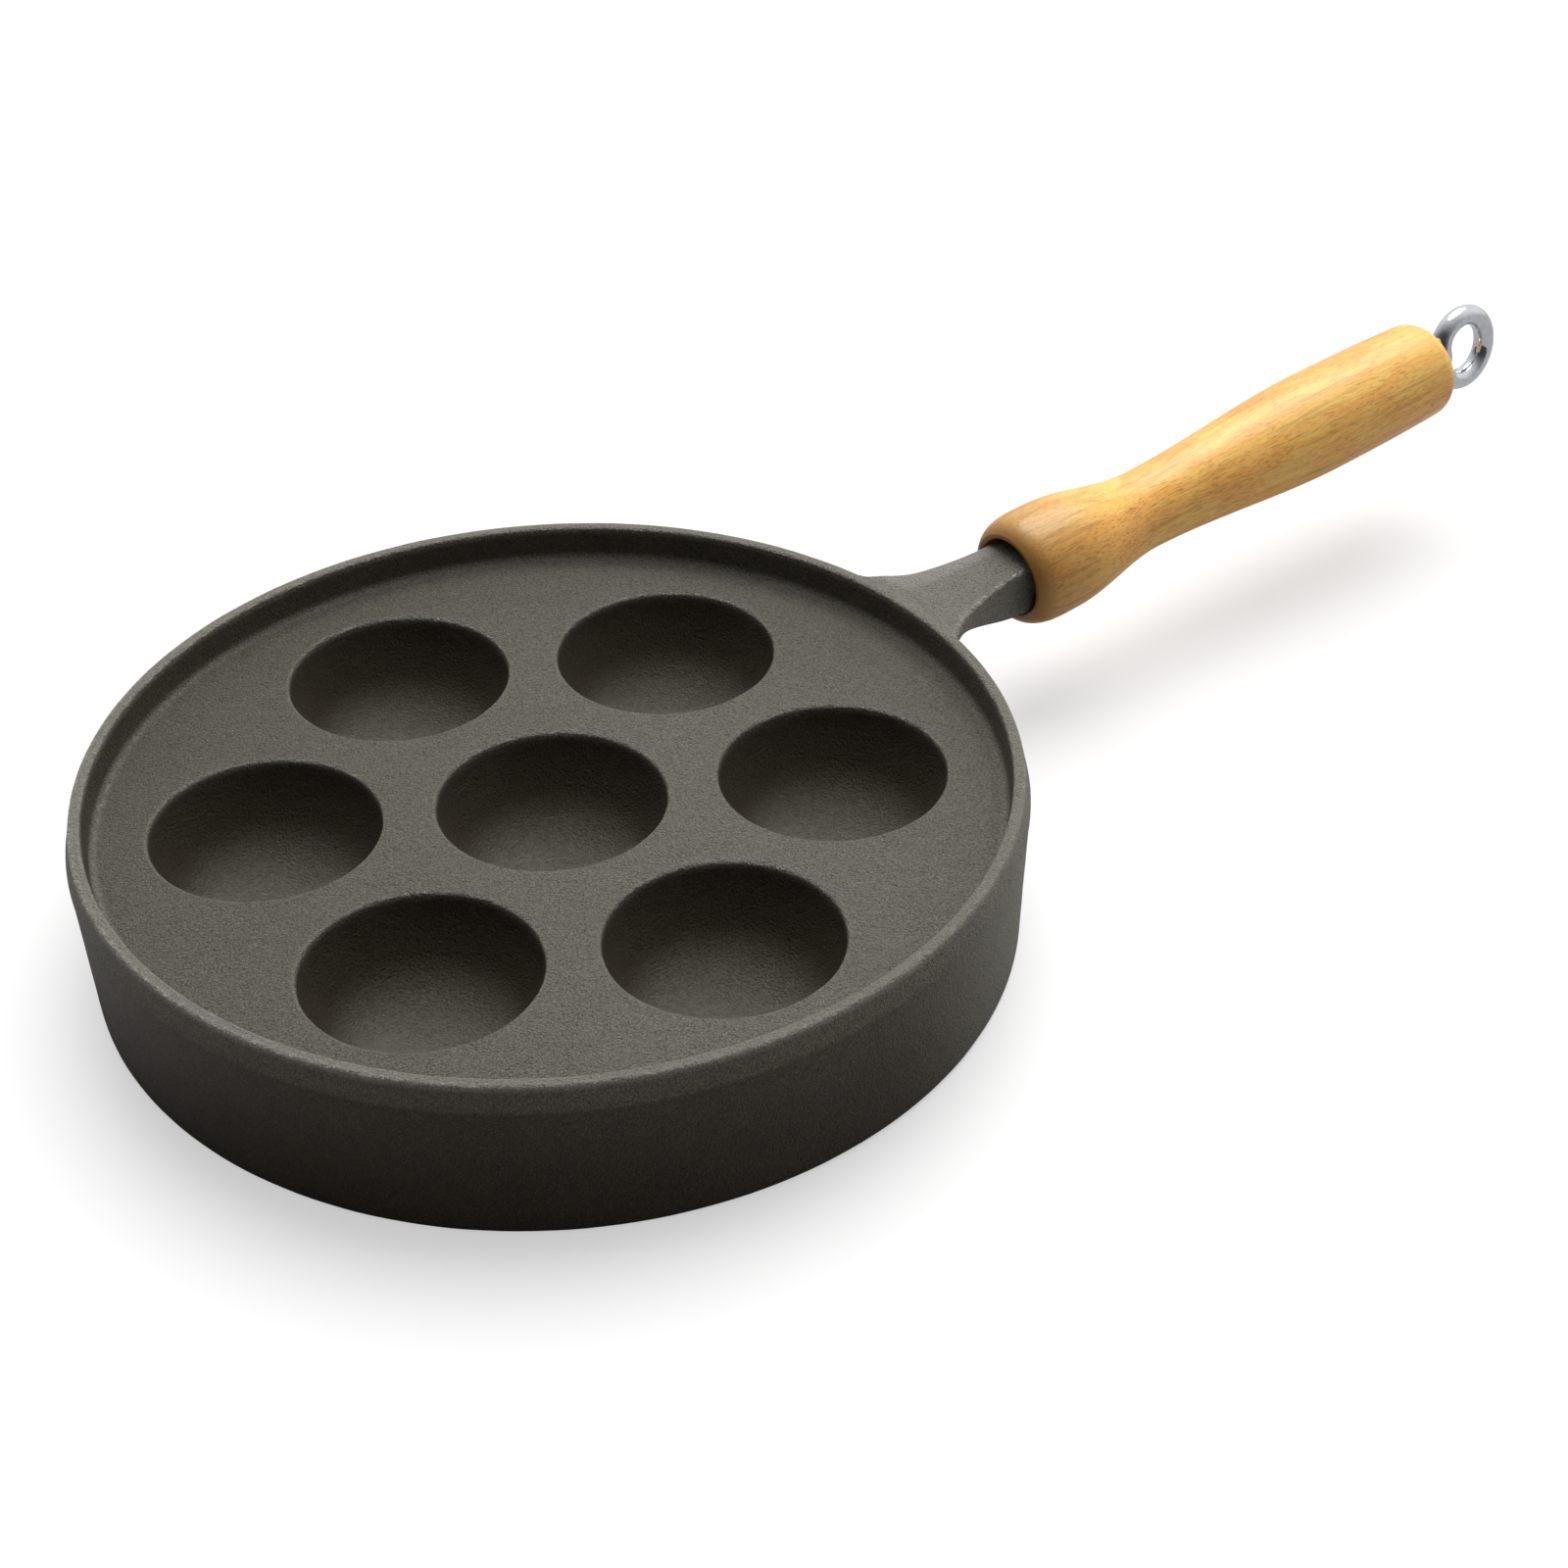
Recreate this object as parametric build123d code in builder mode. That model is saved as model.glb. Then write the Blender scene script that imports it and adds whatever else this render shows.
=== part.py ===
# Aebleskiver pan: a round cast-iron pan with seven half-ball wells, a tall skirt that stands
# on the hob and a cast arm, a turned wooden grip, and an eye rod that clamps the grip.
# Millimetres. Origin at the centre of the skirt's foot, on the table; +X towards the grip; +Z up.
from build123d import *
import math
import os

# Pan body
rim_radius = 115.0            # outer top edge of the rim
rim_land = 2.8                # flat top of the rim, from inner to outer edge
rim_edge_round = 0.8
parting_depth = 6.8           # the widest line of the outside, below the rim top
parting_swell = 1.5           # how far that line stands out from the rim
skirt_draw_in = 0.4           # how far the foot lies inside the rim
skirt_foot_wall = 4.0
skirt_foot_round = 2.0
skirt_inner_round = 0.8
skirt_inner_draft = 1.5       # degrees

# Plate and wells
plate_depth = 9.2             # rim top down to the plate
plate_thickness = 5.0
plate_wall_lean = 1.0         # how far the inner wall leans in from rim to plate
plate_corner_round = 2.5
plate_underside_round = 3.0
well_bridge = 12.8            # plate left between two wells
well_margin = 13.5            # plate left between a well and the rim's wall
well_shortfall = 1.8          # how much less than a half ball a well is deep
well_wall = 4.0
bowl_clearance = 4.3          # hob to the underside of the bowls
well_lip_round = 1.2
well_root_round = 2.5         # where a well's bowl joins the underside of the plate
well_count = 6                # wells in the ring, round the centre one

# Cast arm
arm_length = 33.5             # rim edge to the mouth of the grip
arm_half_width = 8.0
arm_half_height = 7.5
arm_root_thickness = 5.0
flare_half_angle = 10.0       # degrees either side of the arm where its flare leaves the rim
flare_points = ((3.6, 15.4), (14.5, 10.7))    # beyond the rim's edge, half width there
arm_root_bite = 1.8           # how far the arm's root reaches into the rim's wall
arm_edge_round = 1.5

# Handle axis, which runs up and out from the rim's edge
axis_drop = 7.2               # axis below the rim top, at the rim's edge
axis_rise = 2.5               # degrees

# Wooden grip, turned; places along it are measured from its front face
grip_length = 163.6
grip_front_radius = 12.3
grip_bulb_at = 15.0
grip_bulb_radius = 15.65
grip_waist_at = 48.4
grip_waist_radius = 11.1
grip_swell_at = 118.0
grip_swell_radius = 14.85
grip_end_radius = 13.9
grip_front_round = 0.7
grip_end_round = 5.5
grip_mouth_radius = 11.0      # the round recess that takes the arm's tip
grip_mouth_depth = 14.0
grip_mouth_round = 0.6

# Eye rod
rod_radius = 4.0
rod_tip_chamfer = 1.0
thread_engagement = 16.0
thread_run_out = 4.0          # tapped hole beyond the rod's tip
shoulder_radius = 6.5
shoulder_round = 0.5
shoulder_thickness = 1.6
eye_ring_radius = 9.7         # centre line of the ring
eye_wire_radius = 3.0
eye_neck_length = 1.4         # shoulder to the outside of the ring
eye_neck_radius = 4.8
eye_neck_tip_radius = 2.8     # where the neck ends inside the ring's wire
eye_turn = 8.0                # degrees that the ring's plane leans from upright, as tightened

# Fits
thread_clearance = 0.05
bore_clearance = 0.3
overrun = 1.0                 # how far a cut or an outline runs past what it cuts

# Shares: half way along an edge, and how much of its direction is along X on a long edge
mid_share = 0.5
long_edge_share = 0.5

# Directions of the grip's outline where it starts, where it neither swells nor thins, and ends
grip_front_slope = (0.6, 0.8)
along = (1, 0)
grip_end_slope = (1, -0.05)

rim_inner_radius = rim_radius - rim_land
plate_radius = rim_inner_radius - plate_wall_lean
parting_radius = rim_radius + parting_swell
skirt_foot_radius = rim_radius - skirt_draw_in

# Three wells, two bridges and two margins lie across half the ring: the wells fill the plate
well_mouth_radius = (plate_radius - well_bridge - well_margin) / 3
well_pitch_radius = 2 * well_mouth_radius + well_bridge
well_depth = well_mouth_radius - well_shortfall

# Heights above the hob
plate_top = bowl_clearance + well_wall + well_depth
plate_underside = plate_top - plate_thickness
pan_height = plate_top + plate_depth
parting_height = pan_height - parting_depth
skirt_inner_foot = skirt_foot_radius - skirt_foot_wall
skirt_inner_top = skirt_inner_foot - plate_underside * math.tan(math.radians(skirt_inner_draft))

# A well is part of a ball, whose radius follows from the mouth and the depth
well_radius = (well_mouth_radius**2 + well_depth**2) / (2 * well_depth)
well_centre_height = plate_top - well_depth + well_radius

# The handle's side plane: X along the handle axis, Y up, origin at the grip's front face
rise = math.radians(axis_rise)
axis_direction = Vector(math.cos(rise), 0, math.sin(rise))
grip_front_height = pan_height - axis_drop + arm_length * math.tan(rise)
grip_front = Vector(rim_radius + arm_length, 0, grip_front_height)
handle_side = Plane(origin=grip_front, x_dir=axis_direction, z_dir=(0, -1, 0))
handle_axis = Axis(grip_front, axis_direction)

# Places along the handle axis, from the grip's front face
rod_tip_at = grip_mouth_depth - thread_engagement
eye_neck_at = grip_length + shoulder_thickness
eye_centre_at = eye_neck_at + eye_neck_length + eye_wire_radius + eye_ring_radius
eye_centre = handle_side.from_local_coords(Vector(eye_centre_at, 0))
eye_plane = Plane(eye_centre, x_dir=axis_direction, z_dir=(0, -1, 0)).rotated((-eye_turn, 0, 0))


def along_handle(distance):
    """The plane square to the handle axis at a distance from the grip's front, facing outwards."""
    return Plane(grip_front + axis_direction * distance, x_dir=(0, 1, 0), z_dir=axis_direction)


def well_places():
    """The centre well and the ring of wells round it, with the arm between two of them."""
    ring = PolarLocations(well_pitch_radius, well_count, start_angle=180 / well_count)
    return [Location((0, 0, 0)), *ring.local_locations]


def circles_at(edges, height, radius):
    """Those edges that are level circles of a radius at a height."""
    near = rim_edge_round / 2
    level = edges.filter_by(GeomType.CIRCLE).filter_by_position(Axis.Z, height - near, height + near)
    return level.filter_by(lambda edge: abs(edge.radius - radius) < near)


def is_long_arm_edge(edge):
    """Whether an edge beyond the rim follows the arm on one of its sides."""
    beyond = edge.center().X > rim_radius and abs(edge.center().Y) > arm_edge_round
    return beyond and (edge % mid_share).X ** 2 > long_edge_share


# Outside of the wells, seen from below
with BuildPart() as bowls:
    with Locations(*[Pos(0, 0, well_centre_height) * place for place in well_places()]):
        Sphere(well_radius + well_wall)
    split(bisect_by=Plane.XY.offset(plate_top - plate_thickness / 2), keep=Keep.BOTTOM)

# Cast arm: its outline from above, cut to its outline from the side
arm_root_radius = rim_radius - arm_root_bite
flare = math.radians(flare_half_angle)
flare_root = (rim_radius * math.cos(flare), rim_radius * math.sin(flare))
flare_root_direction = (math.sin(flare), -math.cos(flare))
arm_tip = handle_side.from_local_coords(Vector(grip_mouth_depth, 0))
arm_outline_end = arm_tip.X + arm_half_height
level_direction = handle_side.to_local_coords(grip_front + Vector(1, 0, 0))
thickness_step = handle_side.to_local_coords(grip_front + Vector(0, 0, arm_root_thickness))
root_top = handle_side.to_local_coords(Vector(rim_radius - rim_edge_round, 0, pan_height))
root_inner_top = handle_side.to_local_coords(Vector(arm_root_radius - overrun, 0, pan_height))
root_bottom = root_top - thickness_step
root_inner_bottom = root_inner_top - thickness_step

with BuildPart() as arm:
    with BuildSketch(Plane.XY):
        with BuildLine():
            side = Spline(
                flare_root,
                *[(rim_radius + beyond, half_width) for beyond, half_width in flare_points],
                (grip_front.X, arm_half_width),
                tangents=[flare_root_direction, along],
            )
            root = PolarLine((0, 0), arm_root_radius, flare_half_angle, mode=Mode.PRIVATE)
            Line(root @ 1, side @ 0)
            Polyline(side @ 1, (arm_outline_end, arm_half_width), (arm_outline_end, 0))
            mirror(about=Plane.XZ)
            CenterArc((0, 0), arm_root_radius, -flare_half_angle, 2 * flare_half_angle)
        make_face()
    extrude(amount=2 * pan_height)
    with BuildSketch(handle_side):
        with BuildLine():
            Spline(root_top, (0, arm_half_height), tangents=[level_direction, along])
            Polyline(
                (0, arm_half_height),
                (grip_mouth_depth, arm_half_height),
                (grip_mouth_depth, -arm_half_height),
                (0, -arm_half_height),
            )
            Spline(root_bottom, (0, -arm_half_height), tangents=[level_direction, along])
            Polyline(root_bottom, root_inner_bottom, root_inner_top, root_top)
        make_face()
    extrude(amount=rim_radius, both=True, mode=Mode.INTERSECT)
    fillet(edges().filter_by(is_long_arm_edge), arm_edge_round)

with BuildPart() as pan_casting:
    with BuildSketch(Plane.XZ):
        with BuildLine():
            Polyline(
                (0, plate_top),
                (plate_radius, plate_top),
                (rim_inner_radius, pan_height),
                (rim_radius, pan_height),
                (parting_radius, parting_height),
                (skirt_foot_radius, 0),
                (skirt_inner_foot, 0),
                (skirt_inner_top, plate_underside),
                (0, plate_underside),
                close=True,
            )
        make_face()
        for corner, radius in (
            ((plate_radius, plate_top), plate_corner_round),
            ((rim_inner_radius, pan_height), rim_edge_round),
            ((rim_radius, pan_height), rim_edge_round),
            ((skirt_foot_radius, 0), skirt_foot_round),
            ((skirt_inner_foot, 0), skirt_inner_round),
            ((skirt_inner_top, plate_underside), plate_underside_round),
        ):
            fillet(vertices().sort_by_distance(corner)[:1], radius)
    revolve(axis=Axis.Z)
    add(bowls.part)
    bowl_root_radius = math.sqrt(
        (well_radius + well_wall) ** 2 - (well_centre_height - plate_underside) ** 2
    )
    fillet(circles_at(edges(), plate_underside, bowl_root_radius), well_root_round)
    with Locations(*[Pos(0, 0, well_centre_height) * place for place in well_places()]):
        Sphere(well_radius, mode=Mode.SUBTRACT)
    fillet(circles_at(edges(), plate_top, well_mouth_radius), well_lip_round)
    add(arm.part)
    with Locations(along_handle(grip_mouth_depth)):
        Hole(rod_radius + thread_clearance, depth=thread_engagement + thread_run_out)
pan_casting.part.label = "pan_casting"

with BuildPart() as wood_grip:
    with BuildSketch(handle_side):
        with BuildLine():
            outline = Spline(
                (0, grip_front_radius),
                (grip_bulb_at, grip_bulb_radius),
                (grip_waist_at, grip_waist_radius),
                (grip_swell_at, grip_swell_radius),
                (grip_length, grip_end_radius),
                tangents=[grip_front_slope, along, along, along, grip_end_slope],
            )
            Polyline(outline @ 1, (grip_length, 0), (0, 0), outline @ 0)
        make_face()
        fillet(vertices().sort_by_distance((0, grip_front_radius))[:1], grip_front_round)
        fillet(vertices().sort_by_distance((grip_length, grip_end_radius))[:1], grip_end_round)
    revolve(axis=handle_axis)
    with Locations(Plane(grip_front, x_dir=(0, 1, 0), z_dir=-axis_direction)):
        CounterBoreHole(
            rod_radius + bore_clearance, grip_mouth_radius, grip_mouth_depth, depth=grip_length
        )
    fillet(edges().filter_by(GeomType.CIRCLE).sort_by_distance(grip_front)[:1], grip_mouth_round)
wood_grip.part.label = "wood_grip"

with BuildPart() as eye_rod:
    with BuildSketch(along_handle(rod_tip_at)):
        Circle(rod_radius)
    extrude(amount=grip_length - rod_tip_at)
    chamfer(edges().sort_by(handle_axis)[:1], rod_tip_chamfer)
    with BuildSketch(along_handle(grip_length)):
        Circle(shoulder_radius)
    extrude(amount=shoulder_thickness)
    fillet(edges().sort_by(handle_axis)[-1:], shoulder_round)
    with Locations(along_handle(eye_neck_at)):
        Cone(
            eye_neck_radius,
            eye_neck_tip_radius,
            eye_neck_length + eye_wire_radius,
            align=(Align.CENTER, Align.CENTER, Align.MIN),
        )
    with Locations(eye_plane):
        Torus(eye_ring_radius, eye_wire_radius)
eye_rod.part.label = "eye_rod"

os.makedirs("parts", exist_ok=True)
for piece in (pan_casting.part, wood_grip.part, eye_rod.part):
    export_step(piece, f"parts/{piece.label}.step")
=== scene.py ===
import math

import bmesh
import bpy
import numpy as np
from bpy.props import FloatProperty, FloatVectorProperty, IntProperty, PointerProperty
from mathutils import Matrix, Vector


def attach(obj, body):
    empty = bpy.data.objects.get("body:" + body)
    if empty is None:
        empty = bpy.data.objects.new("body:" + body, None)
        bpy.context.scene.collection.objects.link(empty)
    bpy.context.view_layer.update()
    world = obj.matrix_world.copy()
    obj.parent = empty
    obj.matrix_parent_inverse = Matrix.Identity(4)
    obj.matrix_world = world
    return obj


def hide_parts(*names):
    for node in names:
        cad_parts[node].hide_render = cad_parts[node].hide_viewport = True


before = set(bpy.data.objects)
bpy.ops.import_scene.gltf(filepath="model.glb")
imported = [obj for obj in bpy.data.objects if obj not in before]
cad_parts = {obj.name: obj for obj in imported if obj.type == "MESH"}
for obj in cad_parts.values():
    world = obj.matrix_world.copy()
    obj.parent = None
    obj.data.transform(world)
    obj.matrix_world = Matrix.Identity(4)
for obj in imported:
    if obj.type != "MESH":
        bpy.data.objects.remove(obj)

bl_info = {
    "name": "Aebleskiver Pan",
    "version": (1, 0, 0),
    "blender": (4, 5, 0),
    "location": "View3D > Sidebar > Pan",
    "description": "Builds a cast-iron aebleskiver pan with a turned wooden grip and a hanging eye",
    "category": "Add Mesh",
}

MM = 0.001                 # metres in a millimetre
MERGED_WITHIN = 2e-6       # metres: points of a piece that are nearer than this become one
WELLS_IN_RING = 6
CELL_COLUMNS = 96          # columns round each well, which meet the next well's column for column
ARC_COLUMNS = CELL_COLUMNS // 3               # those of a ring well on the plate's outer circle
TURN_COLUMNS = WELLS_IN_RING * ARC_COLUMNS    # columns round the pan, which meet the arcs' columns
WIRE_COLUMNS = 48          # columns round the wire of the ring
THREAD_ROWS = 8            # rows in one turn of a thread
WAVE_LENGTH = 21 * MM      # length of the casting's slow unevenness
STILL_WITHIN = 35 * MM     # distance from the arm's root within which that unevenness fades out
PITH = (31.0, 17.0)        # millimetres from the grip's axis to the pith of the log, on -Y and below
MASKS = ("edge", "well", "land", "oil", "pale", "base")    # painted on the iron, which reads them


def length(name, description, millimetres):
    """A size that a user can change, shown in the scene's units."""
    return FloatProperty(name=name, description=description, default=millimetres * MM,
                         min=0.0, unit="LENGTH", subtype="DISTANCE", precision=4)


def angle(name, description, degrees):
    """An angle that a user can change."""
    return FloatProperty(name=name, description=description, default=math.radians(degrees),
                         unit="ROTATION", subtype="ANGLE")


def share(name, description, default):
    """A number from 0 to 1."""
    return FloatProperty(name=name, description=description, default=default, min=0.0, max=1.0,
                         subtype="FACTOR")


def number(name, description, default):
    """A number that a user can change, nought or more."""
    return FloatProperty(name=name, description=description, default=default, min=0.0)


def colour(name, description, red, green, blue):
    """A colour that a user can change."""
    return FloatVectorProperty(name=name, description=description, default=(red, green, blue),
                               size=3, min=0.0, max=1.0, subtype="COLOR")


class PanSizes(bpy.types.PropertyGroup):
    """Sizes of the casting without its arm."""
    rim_radius: length("Rim radius", "Outer top edge of the rim", 115.0)
    rim_land: length("Rim land", "Flat top of the rim", 2.8)
    rim_round: length("Rim rounding", "Rounding of the rim's two edges", 0.8)
    height: length("Height", "Hob to the top of the rim", 44.0)
    parting_depth: length("Parting depth", "Parting line below the top of the rim", 6.8)
    parting_radius: length("Parting radius", "Outside at the parting line", 116.5)
    parting_flash: length("Parting flash", "How far the mould's trimmed seam stands out", 0.18)
    foot_radius: length("Foot radius", "Outside of the skirt at the hob", 114.6)
    foot_wall: length("Foot wall", "Thickness of the skirt at the hob", 4.0)
    foot_round: length("Foot rounding", "Outer rounding of the foot", 2.0)
    foot_inner_round: length("Inner foot rounding", "Inner rounding of the foot", 0.8)
    inner_draft: angle("Inner draft", "Lean of the skirt's inside", 1.5)
    plate_depth: length("Plate depth", "Rim top down to the plate", 9.2)
    plate_thickness: length("Plate thickness", "Thickness of the plate", 5.0)
    wall_lean: length("Wall lean", "How far the rim's inner wall leans in", 1.0)
    corner_round: length("Corner rounding", "Where the plate meets the rim's wall", 2.5)
    underside_round: length("Underside rounding", "Where the skirt meets the plate's underside", 3.0)
    mouth_radius: length("Well mouth radius", "Radius of a well at the plate", 28.3)
    well_depth: length("Well depth", "Plate down to the bottom of a well", 26.5)
    well_wall: length("Well wall", "Thickness of a well's bowl", 4.0)
    lip_round: length("Lip rounding", "Rounding of a well's lip", 1.2)
    root_round: length("Root rounding", "Where a bowl joins the plate's underside", 2.5)
    pitch_radius: length("Pitch radius", "Centre of the pan to the centre of a ring well", 69.4)
    waviness: length("Waviness", "Unevenness left by the sand mould", 0.10)


class ArmSizes(bpy.types.PropertyGroup):
    """Sizes of the cast arm and of the handle's axis."""
    length: length("Arm length", "Rim edge to the mouth of the grip", 33.5)
    half_width: length("Half width", "Half the arm's width at the grip", 8.0)
    half_height: length("Half height", "Half the arm's height at the grip", 7.5)
    root_thickness: length("Root thickness", "Thickness where the arm leaves the rim", 5.0)
    flare_angle: angle("Flare angle", "Where the flare leaves the rim, either side", 10.0)
    flare_first: FloatVectorProperty(name="First flare point", description="Beyond the rim, half width",
                                     default=(0.0036, 0.0154), size=2, unit="LENGTH")
    flare_second: FloatVectorProperty(name="Second flare point", description="Beyond the rim, half width",
                                      default=(0.0145, 0.0107), size=2, unit="LENGTH")
    edge_round: length("Edge rounding", "Rounding of the arm's long edges", 1.0)
    crown: length("Crown", "How much the arm's top falls from its middle to its edges", 0.9)
    axis_drop: length("Axis drop", "Handle axis below the rim top, at the rim's edge", 7.2)
    axis_rise: angle("Axis rise", "Slope of the handle", 2.5)


class GripSizes(bpy.types.PropertyGroup):
    """Sizes of the turned grip, measured from its front face."""
    length: length("Grip length", "Front face to rear face", 163.6)
    front_radius: length("Front radius", "Radius of the front edge", 12.3)
    bulb_at: length("Bulb place", "Where the front bulb is thickest", 15.0)
    bulb_radius: length("Bulb radius", "Radius of the front bulb", 15.65)
    waist_at: length("Waist place", "Where the grip is thinnest", 48.4)
    waist_radius: length("Waist radius", "Radius of the waist", 11.1)
    swell_at: length("Swell place", "Where the palm swell is thickest", 118.0)
    swell_radius: length("Swell radius", "Radius of the palm swell", 14.85)
    end_radius: length("End radius", "Radius at the rear", 13.9)
    front_round: length("Front rounding", "Rounding of the front edge", 0.7)
    end_round: length("End rounding", "Rounding of the rear edge", 5.5)
    mouth_radius: length("Recess radius", "Recess that takes the arm's tip", 11.0)
    mouth_depth: length("Recess depth", "Depth of that recess", 14.0)
    mouth_round: length("Recess rounding", "Rounding of the recess's edge", 0.6)
    bore_radius: length("Bore radius", "Bore for the eye rod", 4.3)


class EyeSizes(bpy.types.PropertyGroup):
    """Sizes of the eye rod."""
    rod_radius: length("Rod radius", "Radius over the thread", 4.0)
    thread_pitch: length("Thread pitch", "Advance of the thread in one turn", 1.25)
    thread_depth: length("Thread depth", "Depth of the thread", 0.62)
    thread_clearance: length("Thread clearance", "Gap between the thread and the tapped hole", 0.05)
    engagement: length("Engagement", "Length of rod in the arm", 16.0)
    run_out: length("Run-out", "Tapped hole beyond the rod's tip", 4.0)
    tip_chamfer: length("Tip chamfer", "Chamfer of the rod's tip", 1.0)
    shoulder_radius: length("Shoulder radius", "Collar that clamps the grip", 6.5)
    shoulder_thickness: length("Shoulder thickness", "Thickness of that collar", 1.6)
    shoulder_round: length("Shoulder rounding", "Rounding of the collar", 0.5)
    neck_length: length("Neck length", "Collar to the outside of the ring", 1.4)
    neck_radius: length("Neck radius", "Radius of the neck at the collar", 4.8)
    ring_radius: length("Ring radius", "Centre line of the ring", 9.7)
    wire_radius: length("Wire radius", "Radius of the ring's wire", 3.0)
    turn: angle("Ring turn", "Lean of the ring from upright, as tightened", 8.0)


class Finish(bpy.types.PropertyGroup):
    """Colours and surface values."""
    iron: colour("Iron", "Seasoned cast iron", 0.204, 0.196, 0.153)
    iron_pale: colour("Pale iron", "Dry iron on the arm and the rim", 0.350, 0.342, 0.300)
    iron_dark: colour("Dark iron", "Iron in pits and low places", 0.017, 0.014, 0.012)
    iron_brown: colour("Oil stain", "Baked oil on the iron", 0.064, 0.044, 0.018)
    iron_bare: colour("Bare iron", "Iron worn bright on its edges", 0.46, 0.45, 0.41)
    wood: colour("Wood", "Lacquered honey-coloured wood", 0.96, 0.46, 0.085)
    wood_light: colour("Light wood", "Early wood between the rings", 0.98, 0.63, 0.155)
    wood_red: colour("Red wood", "Patches of redder figure", 0.90, 0.36, 0.06)
    wood_dark: colour("Dark grain", "Late wood and long streaks", 0.43, 0.215, 0.05)
    wood_pore: colour("Pores", "Fine dark pores", 0.42, 0.16, 0.025)
    chrome: colour("Chrome", "Bright chrome plate", 0.66, 0.69, 0.72)
    chrome_haze: colour("Chrome haze", "Thin film on the chrome", 0.42, 0.43, 0.45)
    grain_size: length("Casting grain", "Size of the sand's grain in the iron", 0.62)
    pebble: share("Pebble", "Strength of the cast texture", 0.95)


class StageSettings(bpy.types.PropertyGroup):
    """The camera, lamps and floor."""
    focal_length: number("Focal length", "Camera lens, millimetres on a sensor 36 wide", 68.51)
    distance: length("Camera distance", "Camera to the middle of the rim", 724.57)
    azimuth: angle("Camera azimuth", "Turn of the camera round the pan", -31.94)
    elevation: angle("Camera elevation", "Height of the camera above the rim's level", 35.495)
    aim_yaw: angle("Aim yaw", "Turn of the camera away from the middle of the rim", -4.4576)
    aim_pitch: angle("Aim pitch", "Tilt of the camera away from the middle of the rim", 0.6704)
    aim_roll: angle("Aim roll", "Roll of the camera", -4.618)
    key_azimuth: angle("Key azimuth", "Where the key light comes from, from +X", 38.0)
    key_elevation: angle("Key elevation", "Height of the key light", 64.0)
    key_size: angle("Key size", "Width of the key light as seen from the pan", 50.0)
    key_strength: number("Key strength", "Strength of the key light", 3.1)
    sky: number("Sky strength", "Strength of the sky on its bright side", 0.64)
    sky_azimuth: angle("Sky azimuth", "Turn of the sky's bright side, from +X", 26.0)
    sky_elevation: angle("Sky elevation", "Height of the sky's bright side", 32.0)
    sky_dim: share("Dim side", "Strength of the sky's far side, as a share of its bright side", 0.06)
    key_colour: colour("Key colour", "Colour of the key light", 1.0, 0.985, 0.96)
    floor_size: length("Floor size", "Side of the square floor", 12000.0)
    floor: colour("Floor", "Pale floor", 0.42, 0.42, 0.43)
    floor_warm: colour("Warm floor", "Warmer patches of the floor", 0.43, 0.425, 0.42)
    floor_bounce: colour("Floor bounce", "The floor as it lights the pan from below", 0.45, 0.44, 0.43)
    floor_lift: share("Floor lift", "Glow of the floor that only the camera sees", 0.53)


class PanBuilder(bpy.types.PropertyGroup):
    """All settings of the add-on."""
    pan: PointerProperty(type=PanSizes)
    arm: PointerProperty(type=ArmSizes)
    grip: PointerProperty(type=GripSizes)
    eye: PointerProperty(type=EyeSizes)
    finish: PointerProperty(type=Finish)
    stage: PointerProperty(type=StageSettings)
    columns: IntProperty(name="Turning steps", description="Steps round a turned piece",
                         default=128, min=48)


def settings():
    """The add-on's settings, which the scene carries."""
    return bpy.context.scene.pan_builder


# Curves and surfaces as whole arrays

def arc(centre, radius, start, end, count):
    """Points centre + radius (cos a, sin a), with a in even steps from start to end."""
    a = np.linspace(start, end, count)
    return np.stack([centre[0] + radius * np.cos(a), centre[1] + radius * np.sin(a)], 1)


def steps(count):
    """Numbers from 0 to 1 that crowd towards both ends: half of 1 - cos of an even angle."""
    return (1 - np.cos(np.linspace(0, math.pi, count))) / 2


def outline(corners, rounds, count=7, spacing=3 * MM):
    """An open run of straight lines through corners, each inner corner rounded by its radius.

    A rounding is the arc that touches both lines: its centre lies on the corner's bisector, at
    the radius over the sine of half the corner's angle. Straight points crowd towards the arcs."""
    corners = [np.asarray(c, float) for c in corners]
    runs = [corners[0][None]]
    for before, corner, after, radius in zip(corners, corners[1:], corners[2:], rounds):
        u = (before - corner) / np.linalg.norm(before - corner)
        v = (after - corner) / np.linalg.norm(after - corner)
        half = math.acos(float(np.clip(u @ v, -1, 1))) / 2
        if radius <= 0:
            runs.append(corner[None])
            continue
        centre = corner + (u + v) / np.linalg.norm(u + v) * radius / math.sin(half)
        first, last = corner + u * radius / math.tan(half), corner + v * radius / math.tan(half)
        angle_in = math.atan2(*(first - centre)[::-1])
        sweep = (math.atan2(*(last - centre)[::-1]) - angle_in + math.pi) % (2 * math.pi) - math.pi
        runs.append(arc(centre, radius, angle_in, angle_in + sweep, count))
    runs.append(corners[-1][None])
    path = [runs[0]]
    for run in runs[1:]:
        start, end = path[-1][-1], run[0]
        between = max(4, int(np.linalg.norm(end - start) / spacing) + 2)
        path.append((start + (end - start) * steps(between)[:, None])[1:-1])
        path.append(run)
    return np.concatenate(path)


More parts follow.
